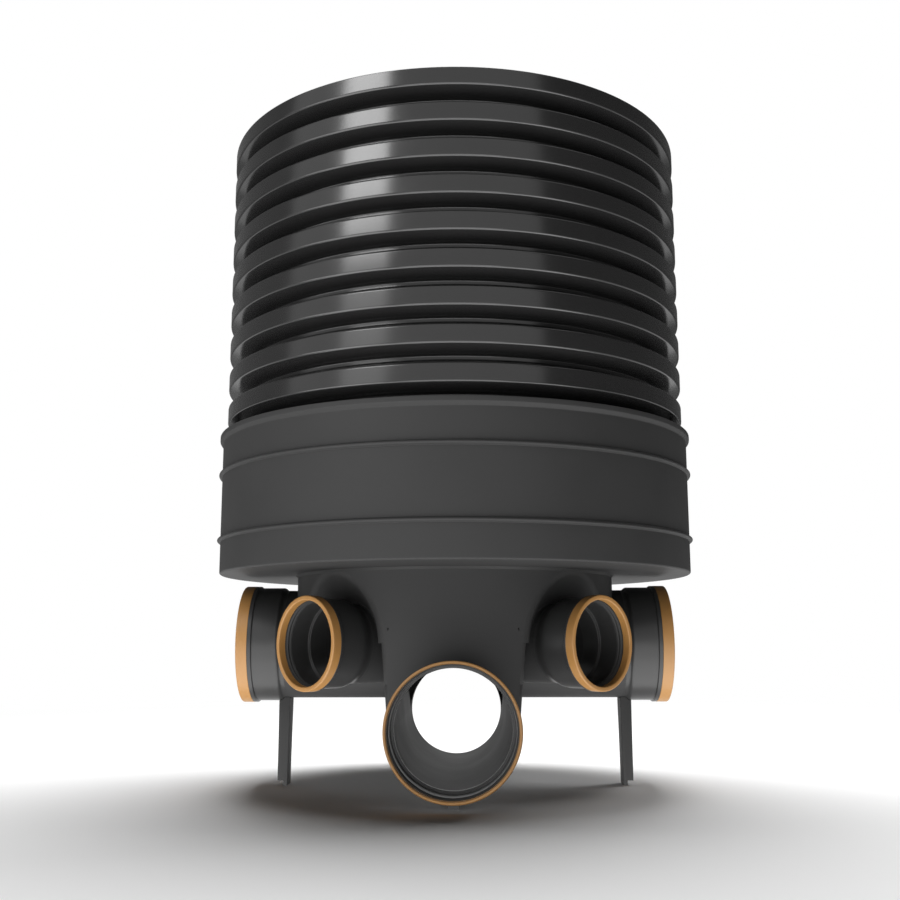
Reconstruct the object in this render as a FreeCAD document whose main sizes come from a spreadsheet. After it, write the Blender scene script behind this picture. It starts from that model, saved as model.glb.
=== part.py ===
import FreeCAD, Part

import math
import os

import Sketcher
from FreeCAD import Placement, Rotation, Vector

# Drain inspection chamber: a moulded bowl with a deep channel from front to back, six pipe
# sockets, a wide collar and a corrugated riser pushed into it.
# Millimetres, +Z up, the front inlet points to -Y. The origin is on the ground, midway
# between the feet, on the axis of the riser.

# Driving dimensions. Each row is a name and its value.
SIZES = (
    # heights above the ground
    ("main_axis_height", 98.0),
    ("side_axis_height", 206.4),
    ("collar_floor_height", 307.0),
    # bowl, its benching and the recesses that give the 45 degree sockets room
    ("bowl_radius", 238.6),
    ("bowl_wall", 8.0),
    ("bench_rise", 12.0),
    ("weld_bead", 3.5),
    ("recess_depth", 37.6),
    ("recess_margin", 3.0),
    ("recess_slope", 45.0),
    ("recess_round", 14.0),
    ("weld_overlap", 1.0),
    # main channel and keel
    ("channel_wall", 11.0),
    ("channel_draft", 5.0),
    ("channel_round", 10.0),
    ("keel_width", 14.0),
    ("keel_reach", 265.0),
    ("keel_gap", 0.5),
    # pipes and sockets of the 160 size
    ("pipe_radius_160", 80.0),
    ("pipe_wall_160", 3.5),
    ("socket_start_160", 250.0),
    ("socket_neck_160", 5.0),
    ("socket_flare_160", 4.0),
    ("socket_bore_160", 80.4),
    ("socket_wall_160", 3.6),
    ("stop_setback_160", 2.0),
    ("mouth_wall_160", 1.3),
    ("face_reach_160", 318.0),
    ("ring_width_160", 16.5),
    ("ring_bore_160", 82.4),
    ("ring_inner_160", 1.1),
    ("ring_skirt_160", 1.4),
    ("ring_flange_160", 3.8),
    ("ring_depth_160", 13.0),
    ("lip_width_160", 6.0),
    ("seal_width_160", 11.0),
    ("seal_height_160", 2.2),
    # pipes and sockets of the 110 size
    ("pipe_radius_110", 55.0),
    ("pipe_wall_110", 4.0),
    ("socket_start_110", 208.0),
    ("socket_neck_110", 5.0),
    ("socket_flare_110", 15.0),
    ("socket_bore_110", 55.4),
    ("socket_wall_110", 5.2),
    ("stop_setback_110", -8.0),
    ("mouth_wall_110", 2.6),
    ("face_reach_110", 284.8),
    ("ring_width_110", 13.0),
    ("ring_bore_110", 57.8),
    ("ring_inner_110", 1.6),
    ("ring_skirt_110", 2.0),
    ("ring_flange_110", 3.4),
    ("ring_depth_110", 11.0),
    ("lip_width_110", 4.0),
    ("seal_width_110", 9.0),
    ("seal_height_110", 3.2),
    # snapping and sliding clearances
    ("ring_clearance", 0.1),
    ("seal_clearance", 0.1),
    ("leg_clearance", 0.15),
    ("riser_seal_clearance", 0.3),
    ("lead_in", 1.8),
    # collar that takes the riser
    ("riser_clearance", 0.8),
    ("collar_wall", 4.8),
    ("collar_floor", 8.0),
    ("collar_rim_height", 205.5),
    ("collar_edge", 3.0),
    ("bead_proud", 4.7),
    ("bead_width", 12.0),
    ("bead_first", 51.0),
    ("bead_spacing", 95.0),
    ("rim_width", 12.0),
    ("rim_band", 7.2),
    ("rim_edge", 1.5),
    ("rim_lead_width", 1.0),
    ("rim_lead_height", 4.0),
    # corrugated riser
    ("riser_radius", 349.4),
    ("riser_wall", 6.0),
    ("rib_pitch", 50.73),
    ("rib_face", 24.5),
    ("rib_flank", 10.0),
    ("rib_inset", 4.2),
    ("groove_depth", 28.0),
    ("first_rib", 14.5),
    ("riser_length", 647.0),
    # riser seal
    ("riser_seal_lip", 6.0),
    # legs
    ("leg_standoff", 7.4),
    ("leg_width", 16.8),
    ("leg_taper", 2.4),
    ("leg_depth", 34.0),
    ("foot_step_width", 8.3),
    ("foot_step_height", 7.0),
)

# Direction of each inlet, in degrees anticlockwise from +X, its pipe size and its axis height.
INLETS = (
    ("front", 270, "160", "main_axis_height"),
    ("rear", 90, "160", "main_axis_height"),
    ("left", 180, "160", "side_axis_height"),
    ("right", 0, "160", "side_axis_height"),
    ("branch_left", 225, "110", "side_axis_height"),
    ("branch_right", 315, "110", "side_axis_height"),
)

# Outline of a bead on the collar, from its root to its crest: shares of its height and half width.
BEAD_CURVE = ((0.0, 1.0), (0.75, 0.6), (1.0, 0.2))

# Outline of a socket seal: shares of its width where it turns, and of its height where it is hollow.
SEAL_TURNS = (0.12, 0.4, 0.6, 0.9)
SEAL_HOLLOW = 0.45

# Share of its radius at which the middle of a quarter round lies.
ROUND_MIDDLE = 0.3

# How near an edge's middle has to lie to the point that names it.
EDGE_REACH = 5.0

# The sketcher's own numbers for its axes and for the points of a line or an arc.
AXIS = {"X": -1, "Y": -2}
POINT = {"start": 1, "end": 2, "centre": 3}


class Size:
    """A length and the sheet formula that drives it, so that sums of sizes stay parametric."""

    def __init__(self, value, formula):
        self.value = value
        self.formula = formula

    def __add__(self, other):
        return combine(self, "+", other)

    def __radd__(self, other):
        return combine(other, "+", self)

    def __sub__(self, other):
        return combine(self, "-", other)

    def __rsub__(self, other):
        return combine(other, "-", self)

    def __mul__(self, other):
        return combine(self, "*", other)

    def __rmul__(self, other):
        return combine(other, "*", self)

    def __truediv__(self, other):
        return combine(self, "/", other)

    def __neg__(self):
        return combine(0, "-", self)

    def slope(self):
        """Tangent of an angle in degrees."""
        return Size(math.tan(math.radians(self.value)), f"tan({self.formula})")


def as_size(number):
    """Any plain number as a Size."""
    if isinstance(number, Size):
        return number
    return Size(float(number), str(number))


def combine(first, sign, second):
    """One arithmetic step, done on the values and written into the formula."""
    one = as_size(first)
    two = as_size(second)
    results = {
        "+": one.value + two.value,
        "-": one.value - two.value,
        "*": one.value * two.value,
    }
    value = results[sign] if sign in results else one.value / two.value
    return Size(value, f"({one.formula} {sign} {two.formula})")


doc = FreeCAD.newDocument("inspection_chamber")
sheet = doc.addObject("Spreadsheet::Sheet", "Sizes")
size = {}
for row, (alias, number) in enumerate(SIZES, start=1):
    sheet.set(f"A{row}", alias)
    sheet.set(f"B{row}", str(number))
    sheet.setAlias(f"B{row}", alias)
    size[alias] = Size(number, f"Sizes.{alias}")
doc.recompute()


def sized(family, stem):
    """The size of one pipe family, such as socket_bore of the 110 family."""
    return size[f"{stem}_{family}"]


def sketch_on(body, name, role, turn=0, height=None):
    """A sketch on one of the body's origin planes, turned about the vertical and lifted."""
    sketch = body.newObject("Sketcher::SketchObject", name)
    plane = next(item for item in body.Origin.OriginFeatures if item.Role == role)
    sketch.AttachmentSupport = [(plane, "")]
    sketch.MapMode = "FlatFace"
    lift = height.value if height else 0
    sketch.AttachmentOffset = Placement(Vector(0, lift, 0), Rotation(Vector(0, 1, 0), turn))
    if height:
        sketch.setExpression("AttachmentOffset.Base.y", height.formula)
    return sketch


def pin(sketch, geometry, point, axis, distance):
    """Holds one point of a sketch at a distance from the origin along X or Y."""
    end = POINT[point]
    if as_size(distance).value == 0:
        across = AXIS["Y"] if axis == "X" else AXIS["X"]
        sketch.addConstraint(Sketcher.Constraint("PointOnObject", geometry, end, across))
        return
    origin = (AXIS["X"], POINT["start"])
    held = Sketcher.Constraint(f"Distance{axis}", *origin, geometry, end, distance.value)
    number = sketch.addConstraint(held)
    sketch.setExpression(f"Constraints[{number}]", distance.formula)


def draw(sketch, corners, arcs=()):
    """A closed outline through the corners; arcs gives the centre height of curved sides."""
    arcs = dict(arcs)
    points = [Vector(as_size(x).value, as_size(y).value, 0) for x, y in corners]
    count = len(points)
    for number, start in enumerate(points):
        finish = points[(number + 1) % count]
        if number not in arcs:
            sketch.addGeometry(Part.LineSegment(start, finish), False)
            continue
        centre = Vector(0, arcs[number].value, 0)
        circle = Part.Circle(centre, Vector(0, 0, 1), start.distanceToPoint(centre))
        first = math.atan2(start.y - centre.y, start.x)
        last = math.atan2(finish.y - centre.y, finish.x)
        if last <= first:
            last += 2 * math.pi
        sketch.addGeometry(Part.ArcOfCircle(circle, first, last), False)
    for number, (x, y) in enumerate(corners):
        after = (number + 1) % count
        joined = (number, POINT["end"], after, POINT["start"])
        sketch.addConstraint(Sketcher.Constraint("Coincident", *joined))
        pin(sketch, number, "start", "X", x)
        pin(sketch, number, "start", "Y", y)
        if number in arcs:
            pin(sketch, number, "centre", "Y", arcs[number])


def turned(body, name, corners, axis="V_Axis", turn=0, height=None, angle=360, cut=False):
    """A revolution, or a groove when cut, of an outline about an axis of its own sketch."""
    sketch = sketch_on(body, f"{name}_outline", "XZ_Plane", turn, height)
    draw(sketch, corners)
    kind = "PartDesign::Groove" if cut else "PartDesign::Revolution"
    feature = body.newObject(kind, name)
    feature.Profile = sketch
    feature.ReferenceAxis = (sketch, [axis])
    feature.Angle = angle
    feature.Midplane = True
    sketch.Visibility = False
    return feature


def padded(body, name, corners, depth, arcs=()):
    """An extrusion of an outline in the XZ plane, as far to the front as to the back."""
    sketch = sketch_on(body, f"{name}_outline", "XZ_Plane")
    draw(sketch, corners, arcs)
    feature = body.newObject("PartDesign::Pad", name)
    feature.Profile = sketch
    feature.SideType = "Symmetric"
    feature.Length = depth.value
    feature.setExpression("Length", depth.formula)
    return feature


def rounded(body, name, radius, middles):
    """Rounds the edges whose middles lie at the given points of the body's last feature."""
    doc.recompute()
    last = body.Tip
    names = []
    for number, edge in enumerate(last.Shape.Edges, start=1):
        middle = edge.valueAt((edge.FirstParameter + edge.LastParameter) / 2)
        if any(middle.distanceToPoint(Vector(*point)) < EDGE_REACH for point in middles):
            names.append(f"Edge{number}")
    if len(names) != len(middles):
        raise RuntimeError(f"{name} found {len(names)} edges, not {len(middles)}")
    feature = body.newObject("PartDesign::Fillet", name)
    feature.Base = (last, names)
    feature.Radius = radius.value
    feature.setExpression("Radius", radius.formula)
    return feature


def new_body(label, turn=0, height=None):
    """An empty body, turned about the vertical and lifted to its height."""
    body = doc.addObject("PartDesign::Body", label)
    body.Label = label
    lift = height.value if height else 0
    body.Placement = Placement(Vector(0, 0, lift), Rotation(Vector(0, 0, 1), turn))
    if height:
        body.setExpression("Placement.Base.z", height.formula)
    return body


def rectangle(inner, outer, low, high):
    """Corners of a rectangle between two distances and two heights."""
    return ((inner, low), (outer, low), (outer, high), (inner, high))


# Heights and radii that several pieces share
floor_z = size["collar_floor_height"]
main_z = size["main_axis_height"]
side_z = size["side_axis_height"]
bowl_r = size["bowl_radius"]
cavity_r = bowl_r - size["bowl_wall"]
collar_r = size["riser_radius"] + size["riser_clearance"] + size["collar_wall"]
collar_bore = size["riser_radius"] + size["riser_clearance"]
seat_z = floor_z + size["collar_floor"]
pipe_bore_160 = size["pipe_radius_160"] - size["pipe_wall_160"]


def make_chamber_body():
    """Bowl, benching, main channel, side channels, pipe stubs and keel, moulded in one."""
    body = new_body("chamber_body")
    bench_z = side_z + size["bowl_wall"]
    turned(body, "bowl", (
        (0, side_z), (bowl_r, side_z), (bowl_r, floor_z), (cavity_r, floor_z),
        (cavity_r, bench_z + size["bench_rise"]), (0, bench_z),
    ))

    # each recess is a cone round its branch pipe, with a wall of even thickness behind it
    facet = bowl_r - size["recess_depth"]
    floor_radius = size["pipe_radius_110"] + size["recess_margin"]
    slope = size["recess_slope"].slope()
    back = facet - size["bowl_wall"]
    reach = bowl_r + size["bowl_wall"]
    mouth = floor_radius + (reach - facet) * slope
    half_corner = (90 - size["recess_slope"]) / 2
    behind = floor_radius + size["bowl_wall"] * half_corner.slope()
    behind_mouth = behind + (reach - back) * slope
    branches = [row for row in INLETS if row[2] == "110"]
    for name, turn, _, _ in branches:
        turned(body, f"{name}_recess", (
            (facet, 0), (reach, 0), (reach, mouth), (facet, floor_radius),
        ), "H_Axis", turn, side_z, 180, cut=True)
    for name, turn, _, _ in branches:
        turned(body, f"{name}_recess_wall", (
            (back, 0), (facet, 0), (facet, floor_radius), (reach, mouth),
            (reach, behind_mouth), (back, behind),
        ), "H_Axis", turn, side_z, 180)

    # outer walls of the main channel, then everything is trimmed to the bowl's own radius
    invert_r = pipe_bore_160 + size["channel_wall"]
    spread = (side_z - main_z) * size["channel_draft"].slope()
    padded(body, "channel", (
        (-invert_r, main_z), (invert_r, main_z), (invert_r + spread, bench_z),
        (-(invert_r + spread), bench_z),
    ), bowl_r * 2 + size["bowl_wall"], ((0, main_z),))
    far = bowl_r * 2
    turned(body, "trim_round", rectangle(bowl_r, far, -size["bowl_wall"], far), cut=True)
    turned(body, "trim_top", rectangle(0, far, floor_z, far), cut=True)
    corner_x = invert_r.value + spread.value / 2
    corner_y = math.sqrt(bowl_r.value ** 2 - corner_x ** 2)
    corner_z = (main_z.value + side_z.value) / 2
    rounded(body, "channel_corners", size["channel_round"], [
        (x, y, corner_z) for x in (corner_x, -corner_x) for y in (corner_y, -corner_y)
    ])
    turned(body, "weld_bead", (
        (cavity_r, floor_z - size["weld_bead"]), (bowl_r, floor_z - size["weld_bead"]),
        (bowl_r + size["weld_bead"], floor_z), (cavity_r, floor_z),
    ))

    # stubs stand out of the wall, half pipes run on inwards to the main channel
    for name, turn, family, height in INLETS:
        pipe_r = sized(family, "pipe_radius")
        wall_reach = facet if family == "110" else bowl_r
        stub_start = wall_reach - size["bowl_wall"] + size["weld_overlap"]
        turned(body, f"{name}_stub", rectangle(
            stub_start, sized(family, "socket_start"), 0, pipe_r,
        ), "H_Axis", turn, size[height])
        if height == "side_axis_height":
            turned(body, f"{name}_half_pipe", rectangle(
                pipe_bore_160 / 2, wall_reach - size["weld_overlap"], -pipe_r, 0,
            ), "H_Axis", turn, side_z, 180)
    keel_top = main_z - size["socket_bore_160"] - size["socket_wall_160"] - size["keel_gap"]
    half_keel = size["keel_width"] / 2
    padded(body, "keel", rectangle(-half_keel, half_keel, 0, keel_top), size["keel_reach"] * 2)

    # waterways: a drafted slot down to the invert, two bores right through and the branch bores
    cut_slot(body, bench_z + size["bench_rise"])
    past = size["face_reach_160"]
    turned(body, "main_bore", rectangle(-past, past, 0, pipe_bore_160), "H_Axis", 90, main_z, cut=True)
    turned(body, "side_bore", rectangle(-past, past, 0, pipe_bore_160), "H_Axis", 0, side_z, cut=True)
    branch_bore = size["pipe_radius_110"] - size["pipe_wall_110"]
    for name, turn, _, _ in branches:
        turned(body, f"{name}_bore", rectangle(
            branch_bore / 2, past, 0, branch_bore,
        ), "H_Axis", turn, side_z, cut=True)
    crown_z = side_z.value + floor_radius.value + size["recess_depth"].value * slope.value
    rounded(body, "recess_mouths", size["recess_round"], [
        (bowl_r.value * math.cos(math.radians(turn)), bowl_r.value * math.sin(math.radians(turn)), crown_z)
        for _, turn, _, _ in branches
    ])
    return body


def cut_slot(body, top_z):
    """The open slot of the main channel, drafted, with ends that follow the bowl's wall."""
    sketch = body.newObject("Sketcher::SketchObject", "slot_outline")
    plane = next(item for item in body.Origin.OriginFeatures if item.Role == "XY_Plane")
    sketch.AttachmentSupport = [(plane, "")]
    sketch.MapMode = "FlatFace"
    sketch.AttachmentOffset = Placement(Vector(0, 0, top_z.value), Rotation())
    sketch.setExpression("AttachmentOffset.Base.z", top_z.formula)
    half = pipe_bore_160 + (top_z - main_z) * size["channel_draft"].slope()
    end = cavity_r - size["bowl_wall"]
    draw(sketch, rectangle(-half, half, -end, end))
    slot = body.newObject("PartDesign::Pocket", "slot")
    slot.Profile = sketch
    depth = top_z - main_z
    slot.Length = depth.value
    slot.setExpression("Length", depth.formula)
    slot.TaperAngle = -size["channel_draft"].value
    slot.setExpression("TaperAngle", f"-{size['channel_draft'].formula}")


def groove_radius(family):
    """Inner radius of a socket's mouth, where the ring's inner skirt sits."""
    return sized(family, "ring_bore") + sized(family, "ring_inner") + size["ring_clearance"]


def make_socket(name, turn, family, height):
    """A push-fit socket: neck, flare, bore with a pipe stop, lip and thin mouth."""
    start = sized(family, "socket_start")
    neck_r = sized(family, "pipe_radius")
    neck_bore = neck_r - sized(family, "pipe_wall")
    bore = sized(family, "socket_bore")
    outer = bore + sized(family, "socket_wall")
    flare = start + sized(family, "socket_neck")
    full = flare + sized(family, "socket_flare")
    stop = full - sized(family, "stop_setback")
    mouth_end = sized(family, "face_reach") - sized(family, "ring_flange")
    inner_end = sized(family, "face_reach") - sized(family, "ring_depth")
    seal_back = inner_end - sized(family, "seal_width")
    seal_r = bore + sized(family, "seal_height")
    groove = groove_radius(family)
    mouth_r = groove + sized(family, "mouth_wall")
    lip_end = sized(family, "face_reach") - sized(family, "ring_width")
    lip_r = mouth_r + sized(family, "ring_skirt")
    body = new_body(f"socket_{name}", turn, size[height])
    turned(body, f"{name}_socket", (
        (start, neck_bore), (stop, neck_bore), (stop, bore), (seal_back, bore),
        (seal_back, seal_r), (inner_end, seal_r), (inner_end, groove), (mouth_end, groove),
        (mouth_end, mouth_r), (lip_end, mouth_r), (lip_end, lip_r),
        (lip_end - sized(family, "lip_width"), lip_r),
        (lip_end - sized(family, "lip_width"), outer), (full, outer),
        (flare, neck_r), (start, neck_r),
    ), "H_Axis")
    return body


def make_lip_seal(name, turn, family, height):
    """A rubber ring in the mouth, with two lips that bear on the pipe."""
    face = sized(family, "face_reach") - sized(family, "ring_depth")
    clear = size["seal_clearance"]
    back = face - sized(family, "seal_width") + clear
    width = face - back
    lips = sized(family, "socket_bore")
    outer = lips + sized(family, "seal_height") - clear
    hollow = lips + sized(family, "seal_height") * SEAL_HOLLOW
    turns = [back + width * share for share in SEAL_TURNS]
    body = new_body(f"lip_seal_{name}", turn, size[height])
    turned(body, f"{name}_seal", (
        (back, lips + clear), (turns[0], lips), (turns[1], hollow), (turns[2], lips),
        (turns[3], hollow), (face, hollow), (face, outer), (back, outer),
    ), "H_Axis")
    return body


def make_lock_ring(name, turn, family, height):
    """A ring that folds over the mouth: an outer skirt, a flange and an inner skirt."""
    face = sized(family, "face_reach")
    skirt_end = face - sized(family, "ring_width")
    back = face - sized(family, "ring_flange")
    bore = sized(family, "ring_bore")
    inner_end = face - sized(family, "ring_depth")
    inner_r = bore + sized(family, "ring_inner")
    skirt_bore = groove_radius(family) + sized(family, "mouth_wall") + size["ring_clearance"]
    outer = skirt_bore + sized(family, "ring_skirt")
    ease = size["lead_in"]
    middle = ease * ROUND_MIDDLE
    body = new_body(f"lock_ring_{name}", turn, size[height])
    turned(body, f"{name}_ring", (
        (skirt_end, skirt_bore), (back, skirt_bore), (back, inner_r), (inner_end, inner_r),
        (inner_end, bore), (face - ease, bore),
        (face - middle, bore + middle), (face, bore + ease), (face, outer - ease),
        (face - middle, outer - middle), (face - ease, outer), (skirt_end, outer),
    ), "H_Axis")
    return body


def make_riser_socket():
    """The collar: floor, wall, rim and two beads."""
    body = new_body("riser_socket")
    rim_z = floor_z + size["collar_rim_height"]
    edge = size["collar_edge"]
    proud = size["bead_proud"]
    middle = edge * ROUND_MIDDLE
    rim_r = collar_r + proud
    turned(body, "collar", (
        (cavity_r, floor_z), (collar_r - edge, floor_z), (collar_r - middle, floor_z + middle),
        (collar_r, floor_z + edge), (collar_r, rim_z - size["rim_width"]),
        (rim_r, rim_z - size["rim_band"]), (rim_r, rim_z - size["rim_edge"]),
        (rim_r - size["rim_edge"], rim_z), (collar_bore + size["rim_lead_width"], rim_z),
        (collar_bore, rim_z - size["rim_lead_height"]), (collar_bore, seat_z), (cavity_r, seat_z),
    ))
    bead_z = floor_z + size["bead_first"]
    half = size["bead_width"] / 2
    root = collar_r - size["weld_overlap"]
    lower = [(collar_r + proud * out, bead_z - half * up) for out, up in BEAD_CURVE]
    upper = [(collar_r + proud * out, bead_z + half * up) for out, up in reversed(BEAD_CURVE)]
    bead = turned(body, "bead", [(root, bead_z - half), *lower, *upper, (root, bead_z + half)])
    repeat(body, "beads", bead, 2, size["bead_spacing"])
    return body


def repeat(body, name, feature, count, spacing):
    """Copies of one feature up the vertical axis."""
    pattern = body.newObject("PartDesign::LinearPattern", name)
    pattern.Originals = [feature]
    upward = next(item for item in body.Origin.OriginFeatures if item.Role == "Z_Axis")
    pattern.Direction = (upward, [""])
    pattern.Mode = "Spacing"
    pattern.Offset = spacing.value
    pattern.setExpression("Offset", spacing.formula)
    pattern.Occurrences = count
    body.Tip = pattern
    return pattern


def rib_count():
    """How many ribs fit on the riser, the top one cut through its face."""
    room = size["riser_length"].value - size["first_rib"].value
    return int(room // size["rib_pitch"].value) + 1


def make_riser_pipe():
    """Single-wall corrugated pipe: a plain tube, hollow ribs patterned up it, cut at the top."""
    body = new_body("riser_pipe", 0, seat_z)
    crest = size["riser_radius"]
    valley = crest - size["groove_depth"]
    wall = size["riser_wall"]
    flank = size["rib_flank"]
    low = size["first_rib"]
    high = low + size["rib_face"]
    length = size["riser_length"]
    turned(body, "tube", rectangle(valley - wall, valley, 0, length))
    rib = turned(body, "rib", (
        (valley - wall / 2, low - flank), (valley, low - flank), (crest, low), (crest, high),
        (valley, high + flank), (valley - wall / 2, high + flank),
    ))
    repeat(body, "ribs", rib, rib_count(), size["rib_pitch"])
    inset = size["rib_inset"]
    hollow = turned(body, "rib_hollow", (
        (valley - wall * 2, low - flank + inset), (valley - wall, low - flank + inset),
        (crest - wall, low + inset), (crest - wall, high - inset),
        (valley - wall, high + flank - inset), (valley - wall * 2, high + flank - inset),
    ), cut=True)
    repeat(body, "rib_hollows", hollow, rib_count(), size["rib_pitch"])
    above = length + size["rib_pitch"]
    turned(body, "top_cut", rectangle(valley - wall * 2, crest + wall, length, above), cut=True)
    return body


def make_riser_seal():
    """Rubber ring that fills a valley of the riser and bears on the collar's wall."""
    body = new_body("riser_seal", 0, seat_z)
    crest = size["riser_radius"]
    valley = crest - size["groove_depth"]
    clear = size["seal_clearance"]
    top_of_rib = size["first_rib"] + size["rib_pitch"] + size["rib_face"]
    gap = size["rib_pitch"] - size["rib_face"]
    middle = top_of_rib + gap / 2
    foot = gap / 2 - size["rib_flank"] - size["riser_seal_clearance"]
    lip = size["riser_seal_lip"]
    turned(body, "seal", (
        (valley + clear, middle - foot), (crest - lip, middle - foot - lip),
        (crest, middle - foot), (collar_bore - clear, middle - foot / 2),
        (collar_bore - clear, middle + foot / 2), (crest, middle + foot),
        (crest - lip, middle + foot + lip), (valley + clear, middle + foot),
    ))
    return body


def make_leg(name, turn):
    """A leg under a side inlet: drafted inner edge, stepped foot, saddle top."""
    body = new_body(f"support_leg_{name}", turn)
    inner = bowl_r + size["leg_standoff"]
    outer = inner + size["leg_width"]
    foot_inner = inner + size["leg_taper"]
    step_x = outer - size["foot_step_width"]
    step_z = size["foot_step_height"]
    top = side_z - size["pipe_radius_160"] + size["leg_width"]
    padded(body, f"{name}_leg", (
        (foot_inner, 0), (step_x, 0), (step_x, step_z), (outer, step_z), (outer, top),
        (inner, top),
    ), size["leg_depth"])
    clear = size["leg_clearance"]
    start = sized("160", "socket_start") + sized("160", "socket_neck")
    full = start + sized("160", "socket_flare")
    pipe_r = size["pipe_radius_160"] + clear
    socket_r = size["socket_bore_160"] + size["socket_wall_160"] + clear
    turned(body, f"{name}_saddle", (
        (bowl_r, 0), (outer + size["leg_width"], 0), (outer + size["leg_width"], socket_r),
        (full - clear, socket_r), (start - clear, pipe_r), (bowl_r, pipe_r),
    ), "H_Axis", 0, side_z, cut=True)
    return body


bodies = [make_chamber_body(), make_riser_socket(), make_riser_pipe(), make_riser_seal()]
for inlet in INLETS:
    bodies.append(make_socket(*inlet))
    bodies.append(make_lip_seal(*inlet))
    bodies.append(make_lock_ring(*inlet))
for side, angle in (("left", 180), ("right", 0)):
    bodies.append(make_leg(side, angle))
doc.recompute()

for item in doc.Objects:
    if "Invalid" in item.State or "Error" in item.State:
        raise RuntimeError(f"{item.Name} failed: {item.State}")
for body in bodies:
    if body.Shape.isNull() or not body.Shape.isValid() or len(body.Shape.Solids) != 1:
        raise RuntimeError(f"{body.Label} is not one valid solid")

os.makedirs("parts", exist_ok=True)
for body in bodies:
    body.Shape.exportStep(f"parts/{body.Label}.step")
    print(f"{body.Label}: {body.Shape.Volume / 1000:.1f} cm3")
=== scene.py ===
"""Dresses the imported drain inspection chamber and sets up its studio."""

import math

import bmesh
import bpy
from mathutils import Matrix, Vector


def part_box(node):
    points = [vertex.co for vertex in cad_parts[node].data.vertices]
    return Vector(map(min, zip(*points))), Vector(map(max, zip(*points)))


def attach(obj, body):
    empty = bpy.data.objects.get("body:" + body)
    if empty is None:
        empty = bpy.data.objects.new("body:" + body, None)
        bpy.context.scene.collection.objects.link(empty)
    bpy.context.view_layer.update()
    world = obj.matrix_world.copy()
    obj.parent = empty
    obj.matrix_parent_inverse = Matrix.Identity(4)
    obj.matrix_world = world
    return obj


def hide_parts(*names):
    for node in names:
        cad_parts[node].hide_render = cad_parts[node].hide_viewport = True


bl_info = {
    "name": "Drain Inspection Chamber",
    "version": (1, 0, 0),
    "blender": (4, 5, 0),
    "location": "View3D > Sidebar > Chamber",
    "description": "Builds the pieces of a plastic drain inspection chamber and its studio",
    "category": "Object",
}

MM = 0.001
FULL_TURN = 2 * math.pi
UPWARDS = (0, 0, 1)
OUTWARDS = (1, 0, 0)
WHITE = (1, 1, 1, 1)
WELD = 0.01 * MM  # vertices nearer than this are merged
SMOOTH = math.radians(32)  # faces of turned pieces that meet at less than this shade as one

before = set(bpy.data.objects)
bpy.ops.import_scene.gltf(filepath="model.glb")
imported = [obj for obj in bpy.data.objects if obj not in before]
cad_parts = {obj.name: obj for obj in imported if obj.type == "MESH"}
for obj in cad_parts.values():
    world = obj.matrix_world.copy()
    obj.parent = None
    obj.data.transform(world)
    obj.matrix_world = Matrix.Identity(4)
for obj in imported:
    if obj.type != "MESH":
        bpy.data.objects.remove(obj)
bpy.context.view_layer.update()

# Each inlet: name, direction in degrees anticlockwise from +X, pipe size in mm, axis height.
INLETS = (
    ("front", 270, "160", "main"),
    ("rear", 90, "160", "main"),
    ("left", 180, "160", "side"),
    ("right", 0, "160", "side"),
    ("branch_left", 225, "110", "side"),
    ("branch_right", 315, "110", "side"),
)


# ---------------------------------------------------------------- sizes and colours


class ChamberSizes(bpy.types.PropertyGroup):
    """Sizes of the pieces, in metres."""

    main_axis: bpy.props.FloatProperty(
        name="Main axis height",
        description="Height of the main channel's axis above the ground",
        default=0.098,
        unit="LENGTH",
    )
    side_axis: bpy.props.FloatProperty(
        name="Side axis height",
        description="Height of the side and branch axes above the ground",
        default=0.2064,
        unit="LENGTH",
    )
    seat: bpy.props.FloatProperty(
        name="Riser seat",
        description="Height of the collar's floor, on which the riser stands",
        default=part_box("riser_pipe")[0].z,
        unit="LENGTH",
    )
    riser_top: bpy.props.FloatProperty(
        name="Riser top",
        description="Height at which the riser is cut",
        default=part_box("riser_pipe")[1].z,
        unit="LENGTH",
    )
    rib_pitch: bpy.props.FloatProperty(
        name="Rib pitch",
        description="Distance from one rib of the riser to the next",
        default=0.05073,
        unit="LENGTH",
    )
    riser_wall: bpy.props.FloatProperty(
        name="Riser wall",
        description="Thickness of the corrugated wall",
        default=0.006,
        unit="LENGTH",
    )
    steps: bpy.props.IntProperty(
        name="Steps round a turned piece",
        description="Number of faces round each turned piece",
        default=160,
        min=24,
    )


class ChamberColours(bpy.types.PropertyGroup):
    """Colours of the materials, as sRGB hex values."""

    moulded: bpy.props.StringProperty(
        name="Moulded pieces",
        description="Colour of the moulded base, collar, sockets and legs",
        default="#292929",
    )
    extruded: bpy.props.StringProperty(
        name="Riser",
        description="Colour of the extruded riser",
        default="#1d1d1d",
    )
    ring: bpy.props.StringProperty(
        name="Locking rings",
        description="Colour of the moulded locking rings",
        default="#8a6436",
    )
    rubber: bpy.props.StringProperty(
        name="Seals",
        description="Colour of the rubber seals",
        default="#121212",
    )
    floor: bpy.props.StringProperty(
        name="Floor",
        description="Colour of the studio floor",
        default="#f7f7f7",
    )


# ---------------------------------------------------------------- materials


def linear(hex_colour):
    """An sRGB hex colour as a linear RGBA value."""
    parts = [int(hex_colour[i : i + 2], 16) / 255 for i in (1, 3, 5)]
    return (*[c / 12.92 if c <= 0.04045 else ((c + 0.055) / 1.055) ** 2.4 for c in parts], 1)


def shade(hex_colour, factor):
    """A hex colour made darker or lighter by a factor, as a linear RGBA value."""
    return (*[min(1.0, c * factor) for c in linear(hex_colour)[:3]], 1)


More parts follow.
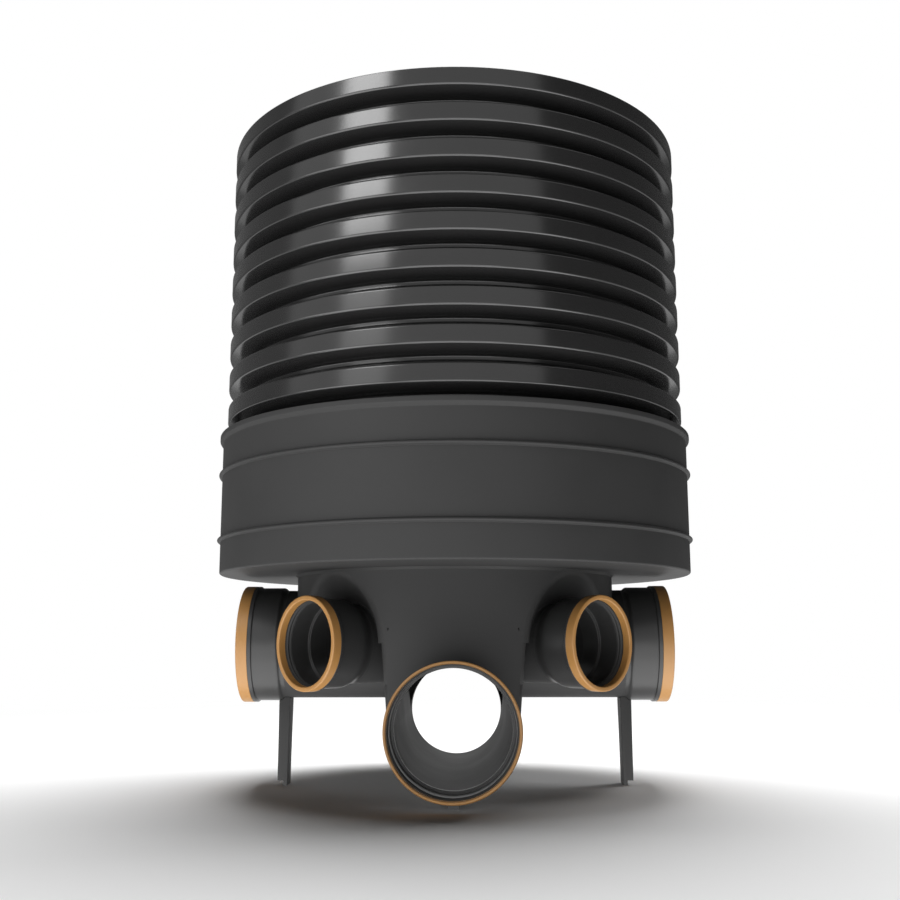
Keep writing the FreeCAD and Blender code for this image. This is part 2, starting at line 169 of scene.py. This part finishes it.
def add_node(tree, kind, settings=None, **inputs):
    """A node with its settings, and its inputs set to values or linked to sockets."""
    node = tree.nodes.new(kind)
    for key, value in (settings or {}).items():
        setattr(node, key, value)
    for key, value in inputs.items():
        socket = node.inputs[int(key[1:]) if key[1:].isdigit() else key.replace("_", " ")]
        if isinstance(value, bpy.types.NodeSocket):
            tree.links.new(value, socket)
        else:
            socket.default_value = value
    return node


def new_material(name):
    """The empty tree of a new node material, which is found by its name afterwards."""
    material = bpy.data.materials.new(name)
    material.use_nodes = True
    material.node_tree.nodes.clear()
    return material.node_tree


def set_surface(tree, shader):
    """Ends a material's tree with its surface."""
    add_node(tree, "ShaderNodeOutputMaterial", Surface=shader)


def mottled_colour(tree, clouds, hex_colour, darkest, lightest):
    """A colour that follows the clouds from darker to lighter."""
    colour = add_node(
        tree,
        "ShaderNodeMix",
        {"data_type": "RGBA"},
        _0=clouds.outputs["Fac"],
        _6=shade(hex_colour, darkest),
        _7=shade(hex_colour, lightest),
    )
    return colour.outputs[2]


def fine_relief(tree, place, scale, strength):
    """A bump of 0.2 mm from fine noise."""
    grain = add_node(tree, "ShaderNodeTexNoise", Vector=place, Scale=scale, Detail=2.0)
    bump = add_node(
        tree, "ShaderNodeBump", Height=grain.outputs["Fac"], Strength=strength, Distance=0.2 * MM
    )
    return bump.outputs["Normal"]


def polypropylene(name, hex_colour, roughness, specular, relief):
    """Polypropylene: an even satin skin, faintly clouded, with the grain of its tool."""
    tree = new_material(name)
    place = add_node(tree, "ShaderNodeTexCoord").outputs["Object"]
    # clouds about 90 mm across: thin dust and handling marks dull the gloss unevenly
    clouds = add_node(
        tree, "ShaderNodeTexNoise", Vector=place, Scale=11.0, Detail=4.0, Roughness=0.6
    )
    gloss = add_node(
        tree,
        "ShaderNodeMapRange",
        Value=clouds.outputs["Fac"],
        From_Min=0.3,
        From_Max=0.7,
        To_Min=roughness - 0.03,
        To_Max=roughness + 0.04,
    )
    # the grain of the tool's face is drawn 2 mm coarse so that it shows
    shader = add_node(
        tree,
        "ShaderNodeBsdfPrincipled",
        Base_Color=mottled_colour(tree, clouds, hex_colour, 0.9, 1.1),
        Roughness=gloss.outputs["Result"],
        IOR=1.49,
        Specular_IOR_Level=specular,
        Normal=fine_relief(tree, place, 500.0, relief),
    )
    set_surface(tree, shader.outputs["BSDF"])


def rubber(name, hex_colour):
    """EPDM rubber: matt, nearly black, with a faint bloom."""
    tree = new_material(name)
    place = add_node(tree, "ShaderNodeTexCoord").outputs["Object"]
    bloom = add_node(tree, "ShaderNodeTexNoise", Vector=place, Scale=40.0, Detail=3.0)
    # the skin of the rubber is drawn 2.5 mm coarse so that it shows
    shader = add_node(
        tree,
        "ShaderNodeBsdfPrincipled",
        Base_Color=mottled_colour(tree, bloom, hex_colour, 0.8, 1.6),
        Roughness=0.68,
        Normal=fine_relief(tree, place, 400.0, 0.15),
    )
    set_surface(tree, shader.outputs["BSDF"])


def make_materials(colours):
    """All of the object's materials, made once."""
    if "Moulded polypropylene" in bpy.data.materials:
        return
    # injection-moulded in a lightly grained tool: matt, with no sharp reflections
    polypropylene(
        "Moulded polypropylene", colours.moulded, roughness=0.58, specular=0.17, relief=0.04
    )
    # injection-moulded in a smoother tool: satin, with soft streaks of light along the pipes
    polypropylene(
        "Socket polypropylene", colours.moulded, roughness=0.34, specular=0.3, relief=0.02
    )
    # extruded and formed on polished blocks: smoother, with crisp reflections of the lamps
    polypropylene(
        "Extruded polypropylene", colours.extruded, roughness=0.18, specular=0.5, relief=0.004
    )
    # moulded in an ochre mix: satin and even
    polypropylene(
        "Ring polypropylene", colours.ring, roughness=0.42, specular=0.4, relief=0.04
    )
    rubber("EPDM rubber", colours.rubber)


def prepare(context):
    """Makes the materials if they aren't there yet, and gives the sizes."""
    make_materials(context.scene.chamber_colours)
    return context.scene.chamber_sizes


def finish_piece(piece, material, slot, *nodes):
    """Gives a piece its material, lets it ride and stand for CAD nodes."""
    piece.data.materials.clear()
    piece.data.materials.append(bpy.data.materials[material])
    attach(piece, "root")
    if nodes:
        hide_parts(*nodes)


def finish_node(node, material):
    """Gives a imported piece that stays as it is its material."""
    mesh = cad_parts[node].data
    mesh.materials.clear()
    mesh.materials.append(bpy.data.materials[material])


# ---------------------------------------------------------------- modelling by hand


def deselect():
    """Leaves nothing selected."""
    bpy.ops.object.select_all(action="DESELECT")


def choose(piece):
    """Selects one object alone and makes it active."""
    deselect()
    piece.select_set(True)
    bpy.context.view_layer.objects.active = piece


def select_where(piece, test):
    """Selects the vertices of the mesh in edit mode that pass a test of their place."""
    bpy.ops.mesh.select_mode(type="VERT")
    bpy.ops.mesh.select_all(action="DESELECT")
    mesh = bmesh.from_edit_mesh(piece.data)
    for vertex in mesh.verts:
        vertex.select_set(test(vertex.co))
    mesh.select_flush(True)
    bmesh.update_edit_mesh(piece.data)


def start_point(name, across, up):
    """A new piece in edit mode that is one vertex, ready to be extruded into an outline."""
    deselect()
    bpy.ops.mesh.primitive_plane_add(size=MM, location=(across, 0, up))
    piece = bpy.context.object
    piece.name = name
    piece.data.name = name
    bpy.ops.object.transform_apply(location=True, rotation=False, scale=False)
    bpy.ops.object.mode_set(mode="EDIT")
    bpy.ops.mesh.select_all(action="SELECT")
    bpy.ops.mesh.merge(type="CENTER")
    return piece


def draw_outline(name, points, closed):
    """Draws an outline of (across, up, rounding) points in millimetres and rounds its corners."""
    first = points[0]
    piece = start_point(name, first[0] * MM, first[1] * MM)
    trail = [*points[1:], first] if closed else points[1:]
    here = first
    for point in trail:
        step = ((point[0] - here[0]) * MM, 0, (point[1] - here[1]) * MM)
        bpy.ops.mesh.extrude_vertices_move(TRANSFORM_OT_translate={"value": step})
        here = point
    bpy.ops.mesh.select_all(action="SELECT")
    bpy.ops.mesh.remove_doubles(threshold=WELD)
    for size in sorted({point[2] for point in points if len(point) > 2}):
        corners = [Vector((p[0] * MM, 0, p[1] * MM)) for p in points if len(p) > 2 and p[2] == size]
        select_where(piece, lambda co: any((co - corner).length < 2 * WELD for corner in corners))
        bpy.ops.mesh.bevel(offset=size * MM, offset_type="OFFSET", segments=4, affect="VERTICES")
    return piece


def spin_outline(piece, axis, steps):
    """Spins the outline right round, closes the seam and turns the faces outwards."""
    bpy.ops.mesh.select_all(action="SELECT")
    bpy.ops.mesh.spin(steps=steps, angle=FULL_TURN, center=(0, 0, 0), axis=axis)
    bpy.ops.mesh.select_all(action="SELECT")
    bpy.ops.mesh.remove_doubles(threshold=WELD)
    bpy.ops.mesh.normals_make_consistent(inside=False)
    bpy.ops.object.mode_set(mode="OBJECT")
    bpy.ops.object.shade_smooth_by_angle(angle=SMOOTH)
    # flat bands shade flat right up to their rounded edges
    apply_modifier(piece, "WEIGHTED_NORMAL", {"weight": 50, "keep_sharp": True})


def turned(name, points, axis, steps, closed=True):
    """A turned piece from its outline."""
    piece = draw_outline(name, points, closed)
    spin_outline(piece, axis, steps)
    return piece


def apply_modifier(piece, kind, settings):
    """Adds one modifier with its settings and applies it."""
    modifier = piece.modifiers.new(kind.title(), kind)
    for key, value in settings.items():
        setattr(modifier, key, value)
    choose(piece)
    bpy.ops.object.modifier_apply(modifier=modifier.name)


def merged_copy(node, name):
    """A copy of a CAD node's mesh, with its loose triangles merged."""
    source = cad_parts[node]
    piece = bpy.data.objects.new(name, source.data.copy())
    bpy.context.scene.collection.objects.link(piece)
    choose(piece)
    bpy.ops.object.mode_set(mode="EDIT")
    bpy.ops.mesh.select_all(action="SELECT")
    bpy.ops.mesh.remove_doubles(threshold=WELD)
    bpy.ops.object.mode_set(mode="OBJECT")
    bpy.ops.mesh.customdata_custom_splitnormals_clear()
    return piece


def turn_at_inlets(stem, family, outline, sizes, material, slot):
    """Turns a piece for one pipe size and copies it to each inlet of that size."""
    master = turned(f"{stem}_{family}", outline, OUTWARDS, sizes.steps)
    for inlet, turn, pipe_size, level in INLETS:
        if pipe_size != family:
            continue
        piece = master.copy()
        piece.data = master.data.copy()
        piece.name = f"{stem}_{inlet}_piece"
        piece.data.name = piece.name
        bpy.context.scene.collection.objects.link(piece)
        choose(piece)
        piece.rotation_euler.z = math.radians(turn)
        piece.location.z = sizes.main_axis if level == "main" else sizes.side_axis
        bpy.ops.object.transform_apply(location=True, rotation=True, scale=True)
        finish_piece(piece, material, slot, f"{stem}_{inlet}")
    bpy.data.objects.remove(master)


# ---------------------------------------------------------------- pieces


class CHAMBER_OT_base(bpy.types.Operator):
    """Moulded base with its channel, benching, recesses and keel"""

    bl_idname = "chamber.base"
    bl_label = "Moulded Base"

    def execute(self, context):
        """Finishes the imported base, whose own normals are the smoothest."""
        prepare(context)
        finish_node("chamber_body", "Moulded polypropylene")
        return {"FINISHED"}


class CHAMBER_OT_collar(bpy.types.Operator):
    """Collar that takes the riser, with its two beads and its rim"""

    bl_idname = "chamber.collar"
    bl_label = "Collar"

    def execute(self, context):
        """Turns the collar from its outline."""
        sizes = prepare(context)
        inside, bore, outside, proud = 230.6, 350.2, 355, 359.7
        foot, seat, rim = 307, 315, 512.5
        bead = (
            (outside, -3.5, 0.5),
            (358.5, -2.1, 0.7),
            (proud, -0.7, 0.5),
            (proud, 0.7, 0.5),
            (358.5, 2.1, 0.7),
            (outside, 3.5, 0.5),
        )
        beads = []
        for middle in (356.8, 453.8):
            beads += [(across, middle + up, rounding) for across, up, rounding in bead]
        outline = [
            (inside, foot),
            (outside, foot, 3),
            *beads,
            (outside, 500.5, 1),
            (proud, 505.3, 1),
            (proud, rim, 1.5),
            (350.7, rim, 1),
            (bore, 508.5, 1),
            (bore, seat, 3),
            (inside, seat, 1.5),
        ]
        piece = turned("collar_shell", outline, UPWARDS, sizes.steps)
        finish_piece(piece, "Moulded polypropylene", "black_pp", "riser_socket")
        return {"FINISHED"}


class CHAMBER_OT_riser(bpy.types.Operator):
    """Corrugated riser pipe, cut level at the top"""

    bl_idname = "chamber.riser"
    bl_label = "Corrugated Riser"

    def execute(self, context):
        """Turns one rib, repeats it up the pipe, cuts the top and gives the sheet its wall."""
        sizes = prepare(context)
        valley, crest = 321.4, 349.4
        # the first rib starts just above the seat, to which its lowest edge is then moved down
        low = sizes.seat / MM + 1.385
        outline = [
            (valley, low),
            (valley, low + 3.115, 1.6),
            (crest, low + 13.115, 2.4),
            (crest, low + 37.615, 2.4),
            (valley, low + 47.615, 1.6),
            (valley, low + 50.73),
        ]
        piece = turned("riser_shell", outline, UPWARDS, sizes.steps, closed=False)
        apply_modifier(
            piece,
            "ARRAY",
            {
                "count": 13,
                "use_relative_offset": False,
                "use_constant_offset": True,
                "constant_offset_displace": (0, 0, sizes.rib_pitch),
                "use_merge_vertices": True,
                "merge_threshold": 5 * WELD,
            },
        )
        bpy.ops.object.mode_set(mode="EDIT")
        bpy.ops.mesh.select_all(action="SELECT")
        bpy.ops.mesh.bisect(plane_co=(0, 0, sizes.riser_top), plane_no=UPWARDS, clear_outer=True)
        select_where(piece, lambda co: co.z < low * MM + 10 * WELD)
        bpy.ops.transform.translate(value=(0, 0, sizes.seat - low * MM))
        bpy.ops.object.mode_set(mode="OBJECT")
        apply_modifier(
            piece,
            "SOLIDIFY",
            {"thickness": sizes.riser_wall, "offset": -1, "use_even_offset": True, "use_rim": True},
        )
        bpy.ops.object.shade_smooth_by_angle(angle=SMOOTH)
        finish_piece(piece, "Extruded polypropylene", "riser_pp", "riser_pipe")
        return {"FINISHED"}


class CHAMBER_OT_sockets(bpy.types.Operator):
    """Six push-fit sockets, four of 160 mm and two of 110 mm"""

    bl_idname = "chamber.sockets"
    bl_label = "Pipe Sockets"

    def execute(self, context):
        """Turns one socket of each size and copies it to its inlets."""
        sizes = prepare(context)
        large = [
            # pipe stop and bore
            (250, 76.5),
            (257, 76.5, 0.8),
            (257, 80.4, 0.8),
            (294, 80.4, 0.4),
            # room for the seal
            (294, 82.6),
            (305, 82.6),
            (305, 83.6),
            # mouth, over which the ring snaps, and the shoulder behind it
            (314.2, 83.6, 0.4),
            (314.2, 84.9, 0.4),
            (301.5, 84.9),
            (301.5, 86.3, 0.6),
            (295.5, 86.3, 1.2),
            # outside
            (295.5, 84, 1),
            (259, 84, 2),
            (255, 80, 2),
            (250, 80),
        ]
        small = [
            (208, 51),
            (236, 51, 0.8),
            (236, 55.4, 0.8),
            (264.8, 55.4, 0.4),
            (264.8, 58.6),
            (273.8, 58.6),
            (273.8, 59.5),
            (281.4, 59.5, 0.4),
            (281.4, 62.1, 0.4),
            (271.8, 62.1),
            (271.8, 64.1, 0.6),
            (267.8, 64.1, 1.2),
            (267.8, 60.6, 1),
            (228, 60.6, 4),
            (213, 55, 3),
            (208, 55),
        ]
        for family, outline in (("160", large), ("110", small)):
            turn_at_inlets("socket", family, outline, sizes, "Socket polypropylene", "black_pp")
        return {"FINISHED"}


class CHAMBER_OT_lock_rings(bpy.types.Operator):
    """Six locking rings over the mouths of the sockets"""

    bl_idname = "chamber.lock_rings"
    bl_label = "Locking Rings"

    def execute(self, context):
        """Turns one ring of each size and copies it to its inlets."""
        sizes = prepare(context)
        large = [
            (301.5, 85, 0.3),
            (314.2, 85),
            (314.2, 83.5),
            (305, 83.5),
            (305, 82.4, 0.3),
            (318, 82.4, 1.7),
            (318, 86.4, 1.7),
            (301.5, 86.4, 0.5),
        ]
        small = [
            (271.8, 62.2, 0.3),
            (281.4, 62.2),
            (281.4, 59.4),
            (273.8, 59.4),
            (273.8, 57.8, 0.3),
            (284.8, 57.8, 1.7),
            (284.8, 64.2, 1.7),
            (271.8, 64.2, 0.5),
        ]
        for family, outline in (("160", large), ("110", small)):
            turn_at_inlets("lock_ring", family, outline, sizes, "Ring polypropylene", "ring_pp")
        return {"FINISHED"}


class CHAMBER_OT_seals(bpy.types.Operator):
    """Rubber lip seals of the sockets, and the riser's seal"""

    bl_idname = "chamber.seals"
    bl_label = "Rubber Seals"

    def execute(self, context):
        """Turns one lip seal of each size, copies it, and finishes the riser's seal."""
        sizes = prepare(context)
        for family, back, face, lip, outer in (
            ("160", 294.1, 305, 80.4, 82.5),
            ("110", 264.9, 273.8, 55.4, 58.5),
        ):
            width = face - back
            hollow = lip + (outer - lip) * 0.45  # radius of the hollows between the lips
            outline = [
                (back, lip + 0.1),
                (back + width * 0.12, lip, 0.3),
                (back + width * 0.4, hollow, 0.6),
                (back + width * 0.6, lip, 0.3),
                (back + width * 0.9, hollow, 0.3),
                (face, hollow),
                (face, outer),
                (back, outer),
            ]
            turn_at_inlets("lip_seal", family, outline, sizes, "EPDM rubber", "seal_rubber")
        finish_node("riser_seal", "EPDM rubber")
        return {"FINISHED"}


class CHAMBER_OT_legs(bpy.types.Operator):
    """Two legs under the side sockets, with eased edges"""

    bl_idname = "chamber.legs"
    bl_label = "Support Legs"

    def execute(self, context):
        """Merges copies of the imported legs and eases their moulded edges."""
        prepare(context)
        for side in ("left", "right"):
            piece = merged_copy(f"support_leg_{side}", f"leg_{side}_piece")
            eased = {
                "width": 1.2 * MM,
                "segments": 3,
                "limit_method": "ANGLE",
                "angle_limit": math.radians(40),
            }
            apply_modifier(piece, "BEVEL", eased)
            bpy.ops.object.shade_smooth_by_angle(angle=math.radians(30))
            finish_piece(piece, "Moulded polypropylene", "black_pp", f"support_leg_{side}")
        return {"FINISHED"}


# ---------------------------------------------------------------- studio


def add_area(name, place, target, size, watts, spared=None, glossy=True):
    """A soft lamp turned to a target; the spared objects neither get its light nor block it."""
    data = bpy.data.lights.new(name, "AREA")
    data.shape = "RECTANGLE"
    data.size, data.size_y = size
    data.energy = watts
    lamp = bpy.data.objects.new(name, data)
    bpy.context.scene.collection.objects.link(lamp)
    lamp.location = place
    lamp.rotation_euler = (Vector(target) - Vector(place)).to_track_quat("-Z", "Y").to_euler()
    lamp.visible_glossy = glossy
    if spared:
        lamp.light_linking.receiver_collection = spared
        lamp.light_linking.blocker_collection = spared


def make_spared(name, *things):
    """A collection of the things that a lamp leaves out."""
    spared = bpy.data.collections.new(name)
    for number, thing in enumerate(things):
        spared.objects.link(thing)
        spared.collection_objects[number].light_linking.link_state = "EXCLUDE"
    return spared


def add_card(name, first, angle, brightness):
    """A curved card round the object from its first angle on, which shows in reflections only."""
    radius, bottom, height = 2.2, -0.5, 4.0
    card = start_point(name, radius, bottom)
    bpy.ops.mesh.extrude_vertices_move(TRANSFORM_OT_translate={"value": (0, 0, height)})
    bpy.ops.mesh.select_all(action="SELECT")
    bpy.ops.mesh.spin(steps=16, angle=math.radians(-angle), center=(0, 0, 0), axis=UPWARDS)
    bpy.ops.object.mode_set(mode="OBJECT")
    card.rotation_euler.z = math.radians(first)
    bpy.ops.object.transform_apply(location=False, rotation=True, scale=False)
    tree = new_material(name)
    glow = add_node(tree, "ShaderNodeEmission", Color=WHITE, Strength=brightness)
    set_surface(tree, glow.outputs["Emission"])
    card.data.materials.append(bpy.data.materials[name])
    for ray in ("camera", "diffuse", "transmission", "volume_scatter", "shadow"):
        setattr(card, f"visible_{ray}", False)


def seen_directly(tree):
    """1 for a ray that shows a thing as it is: straight, off a gloss or through a glass."""
    light = add_node(tree, "ShaderNodeLightPath")
    total = light.outputs["Is Camera Ray"]
    for kind in ("Glossy", "Transmission"):
        both = add_node(
            tree,
            "ShaderNodeMath",
            {"operation": "ADD", "use_clamp": True},
            _0=total,
            _1=light.outputs[f"Is {kind} Ray"],
        )
        total = both.outputs["Value"]
    return total


def studio_floor(name, hex_colour):
    """A pale studio floor that keeps the shadow near the object and fades to white."""
    tree = new_material(name)
    place = add_node(tree, "ShaderNodeTexCoord").outputs["Object"]
    far = add_node(tree, "ShaderNodeVectorMath", {"operation": "LENGTH"}, Vector=place)
    fade = add_node(
        tree,
        "ShaderNodeMapRange",
        {"interpolation_type": "SMOOTHSTEP"},
        Value=far.outputs["Value"],
        From_Min=0.9,
        From_Max=2.6,
        To_Min=0.0,
        To_Max=1.0,
    )
    white = add_node(
        tree,
        "ShaderNodeMath",
        {"operation": "MULTIPLY"},
        _0=fade.outputs["Result"],
        _1=seen_directly(tree),
    )
    matt = add_node(tree, "ShaderNodeBsdfDiffuse", Color=linear(hex_colour))
    glow = add_node(tree, "ShaderNodeEmission", Color=WHITE, Strength=1.0)
    mix = add_node(
        tree,
        "ShaderNodeMixShader",
        _0=white.outputs["Value"],
        _1=matt.outputs["BSDF"],
        _2=glow.outputs["Emission"],
    )
    set_surface(tree, mix.outputs["Shader"])


def light_world():
    """White where it is seen, and a plain soft fill elsewhere."""
    world = bpy.data.worlds.new("Studio")
    bpy.context.scene.world = world
    world.use_nodes = True
    tree = world.node_tree
    tree.nodes.clear()
    fill = add_node(tree, "ShaderNodeBackground", Color=WHITE, Strength=0.02)
    backdrop = add_node(tree, "ShaderNodeBackground", Color=WHITE, Strength=1.0)
    mix = add_node(
        tree,
        "ShaderNodeMixShader",
        _0=seen_directly(tree),
        _1=fill.outputs["Background"],
        _2=backdrop.outputs["Background"],
    )
    add_node(tree, "ShaderNodeOutputWorld", Surface=mix.outputs["Shader"])


def add_camera():
    """The camera, low in front of the object and turned a little up."""
    data = bpy.data.cameras.new("Camera")
    data.sensor_width = 36
    data.lens = 44.70
    data.clip_start = 0.05
    data.clip_end = 100
    camera = bpy.data.objects.new("Camera", data)
    bpy.context.scene.collection.objects.link(camera)
    bpy.context.scene.camera = camera
    # place, direction and roll were fitted together
    place = (0.01608, -1.72537, 0.20208)
    forward = Vector((-0.013236, 0.984819, 0.173080)).normalized()
    roll = -0.00137
    level = forward.cross(Vector(UPWARDS)).normalized()
    above = level.cross(forward)
    right = level * math.cos(roll) + above * math.sin(roll)
    up = above * math.cos(roll) - level * math.sin(roll)
    turn = Matrix((right, up, -forward)).transposed().to_4x4()
    camera.matrix_world = Matrix.Translation(place) @ turn


class CHAMBER_OT_stage(bpy.types.Operator):
    """Floor, lamps, world and camera"""

    bl_idname = "chamber.stage"
    bl_label = "Studio"

    def execute(self, context):
        """Sets up the studio round the object."""
        deselect()
        bpy.ops.mesh.primitive_circle_add(
            vertices=64, radius=30, fill_type="NGON", location=(0, 0, 0)
        )
        floor = bpy.context.object
        floor.name = "floor"
        studio_floor("Studio floor", context.scene.chamber_colours.floor)
        floor.data.materials.append(bpy.data.materials["Studio floor"])
        # the front lamps leave the floor alone, so that it keeps the object's deep soft shadow, and
        # the lowest leaves the front ring too, which would throw its colour on the floor under it
        spared = make_spared("key_spares", floor)
        spared_low = make_spared("below_spares", floor, bpy.data.objects["lock_ring_front_piece"])
        # dim cards on both sides of the white backdrop keep the edges of the black plastic dark
        add_card("card_right", -50, 122, 0.1)
        add_card("card_left", 108, 82, 0.2)
        # the back lamps throw the shadow forwards on the floor, and show in no reflection
        foot = (0, 0, 0)
        add_area("back_high", (0, 0.35, 3.8), foot, (2.4, 1.0), 80, glossy=False)
        add_area("back_low", (0, 1.3, 3.6), foot, (2.4, 1.0), 100, glossy=False)
        add_area("back_wide", (0, 3.0, 2.4), foot, (6.0, 1.0), 16, glossy=False)
        add_area("back_right", (2.4, 1.6, 2.6), foot, (1.4, 1.4), 32, glossy=False)
        # the low ones fill the bowl, the sockets and the underside of the collar
        add_area("low_left", (-2.4, -1.8, -0.5), (0, 0, 0.3), (2.4, 1.4), 40, spared)
        add_area("low_front", (0, -2.8, -0.5), (0, 0, 0.3), (2.4, 1.4), 32, spared)
        add_area("below", (0, -0.8, -1.4), (0, 0, 0.2), (4.4, 2.4), 125, spared_low)
        # a tall softbox on the left, brighter at its top, draws the highlights down the ribs
        add_area("key", (-1.85, -2.15, 2.5), (0, 0, 2.5), (1.1, 1.7), 62, spared)
        add_area("key_foot", (-1.85, -2.15, 1.25), (0, 0, 1.25), (1.1, 0.8), 5, spared)
        light_world()
        add_camera()
        context.scene.view_settings.view_transform = "Standard"
        return {"FINISHED"}


class CHAMBER_PT_pieces(bpy.types.Panel):
    """Pieces of the chamber"""

    bl_idname = "CHAMBER_PT_pieces"
    bl_label = "Drain Inspection Chamber"
    bl_space_type = "VIEW_3D"
    bl_region_type = "UI"
    bl_category = "Chamber"

    def draw(self, context):
        """Lists the sizes, the colours and a button for each piece."""
        for group in (context.scene.chamber_sizes, context.scene.chamber_colours):
            box = self.layout.box()
            for name in group.bl_rna.properties.keys():
                if name not in ("rna_type", "name"):
                    box.prop(group, name)
        for operator in OPERATORS:
            self.layout.operator(operator.bl_idname)


OPERATORS = (
    CHAMBER_OT_base,
    CHAMBER_OT_collar,
    CHAMBER_OT_riser,
    CHAMBER_OT_sockets,
    CHAMBER_OT_lock_rings,
    CHAMBER_OT_seals,
    CHAMBER_OT_legs,
    CHAMBER_OT_stage,
)
CLASSES = (ChamberSizes, ChamberColours, *OPERATORS, CHAMBER_PT_pieces)


def register():
    """Registers the classes and the scene's settings."""
    for cls in CLASSES:
        bpy.utils.register_class(cls)
    bpy.types.Scene.chamber_sizes = bpy.props.PointerProperty(type=ChamberSizes)
    bpy.types.Scene.chamber_colours = bpy.props.PointerProperty(type=ChamberColours)


def unregister():
    """Removes the scene's settings and the classes."""
    del bpy.types.Scene.chamber_colours
    del bpy.types.Scene.chamber_sizes
    for cls in reversed(CLASSES):
        bpy.utils.unregister_class(cls)


def main():
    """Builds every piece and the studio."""
    register()
    bpy.ops.chamber.base()
    bpy.ops.chamber.collar()
    bpy.ops.chamber.riser()
    bpy.ops.chamber.sockets()
    bpy.ops.chamber.lock_rings()
    bpy.ops.chamber.seals()
    bpy.ops.chamber.legs()
    bpy.ops.chamber.stage()


if __name__ == "__main__":
    main()
